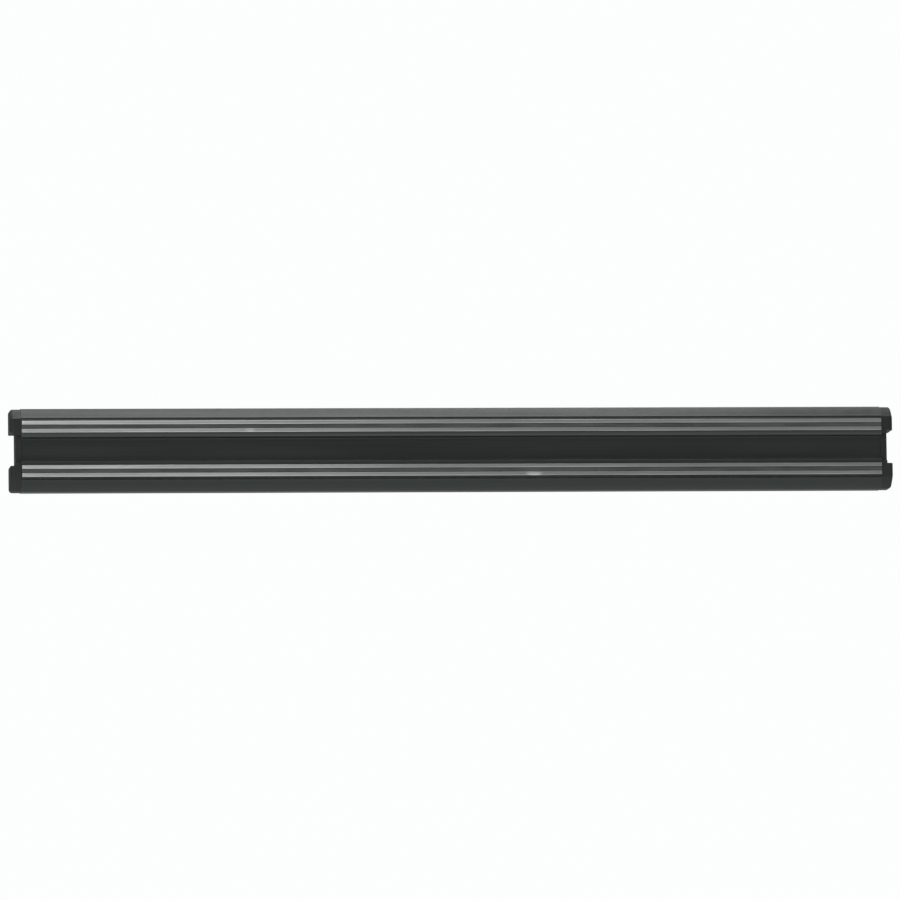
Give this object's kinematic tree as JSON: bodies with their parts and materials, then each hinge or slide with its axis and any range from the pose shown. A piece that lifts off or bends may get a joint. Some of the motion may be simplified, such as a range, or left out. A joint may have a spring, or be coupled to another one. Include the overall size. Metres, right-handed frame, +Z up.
{
  "type": "magnetic knife rack",
  "caption": "Wall rack that holds knives by magnets: a black extruded bar with paired steel pole strips along its front, notched end caps, and hidden clips that slide in a track behind.",
  "frame": {"origin": "on the wall plane, at the middle of the rack's back, midway between the two screw holes", "axes": "+X along the rack to the right as seen from the front, +Y into the wall, +Z up"},
  "size_m": [0.457, 0.0185, 0.043],
  "materials": {
    "rail_plastic": "extruded black plastic, satin, with fine lines along its length",
    "cap_plastic": "moulded black plastic with a fine spark texture",
    "pole_steel": "ground mild steel edge, bright plated",
    "ferrite": "sintered ferrite, dull dark grey",
    "clip_nylon": "moulded natural nylon"
  },
  "bodies": {
    "rack": {"rail_body": "rail_plastic", "end_cap_left": "cap_plastic", "end_cap_right": "cap_plastic", "pole_strip_upper_outer": "pole_steel", "pole_strip_upper_inner": "pole_steel", "pole_strip_lower_outer": "pole_steel", "pole_strip_lower_inner": "pole_steel", "magnet_upper_1": "ferrite", "magnet_upper_2": "ferrite", "magnet_upper_3": "ferrite", "magnet_upper_4": "ferrite", "magnet_upper_5": "ferrite", "magnet_upper_6": "ferrite", "magnet_upper_7": "ferrite", "magnet_upper_8": "ferrite", "magnet_upper_9": "ferrite", "magnet_lower_1": "ferrite", "magnet_lower_2": "ferrite", "magnet_lower_3": "ferrite", "magnet_lower_4": "ferrite", "magnet_lower_5": "ferrite", "magnet_lower_6": "ferrite", "magnet_lower_7": "ferrite", "magnet_lower_8": "ferrite", "magnet_lower_9": "ferrite"},
    "left_clip": {"wall_clip_left": "clip_nylon"},
    "right_clip": {"wall_clip_right": "clip_nylon"}
  },
  "joints": [
    {"name": "left_clip_slide", "type": "slide", "parent": "rack", "child": "left_clip", "axis": [1, 0, 0], "range_m": [-0.058, 0.1355]},
    {"name": "right_clip_slide", "type": "slide", "parent": "rack", "child": "right_clip", "axis": [1, 0, 0], "range_m": [-0.1355, 0.058]}
  ]
}
